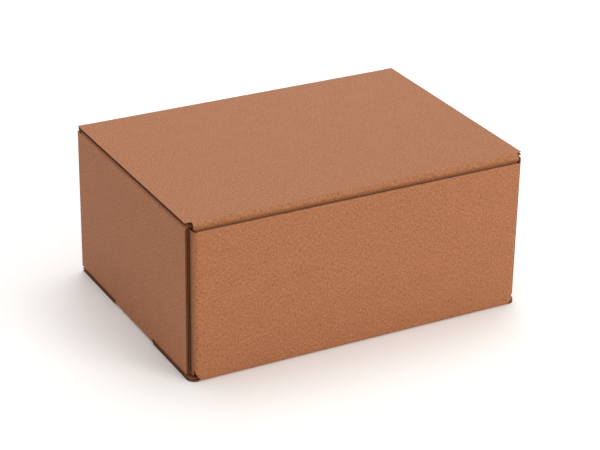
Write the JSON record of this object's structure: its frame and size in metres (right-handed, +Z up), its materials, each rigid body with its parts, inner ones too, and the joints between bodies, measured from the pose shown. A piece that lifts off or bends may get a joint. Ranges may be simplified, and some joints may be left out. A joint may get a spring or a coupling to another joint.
{
  "type": "corrugated postal box with tuck-in lid",
  "caption": "Closed brown corrugated postal box, folded from one sheet, with rolled side walls and a hinged lid whose tuck flap goes inside the front.",
  "frame": {"origin": "on the ground under the middle of the closed box", "axes": "+X to the right as seen from the front, +Y to the back, where the lid is hinged, +Z up"},
  "size_m": [0.31, 0.225, 0.139],
  "materials": {
    "kraft_board": "matt unprinted brown kraft liner"
  },
  "bodies": {
    "tray": {"tray": "kraft_board"},
    "lid": {"lid": "kraft_board"}
  },
  "joints": [
    {"name": "lid_hinge", "type": "hinge", "parent": "tray", "child": "lid", "pos_m": [0, 0.111, 0.1375], "axis": [-1, 0, 0], "range_deg": [0, 180]}
  ]
}
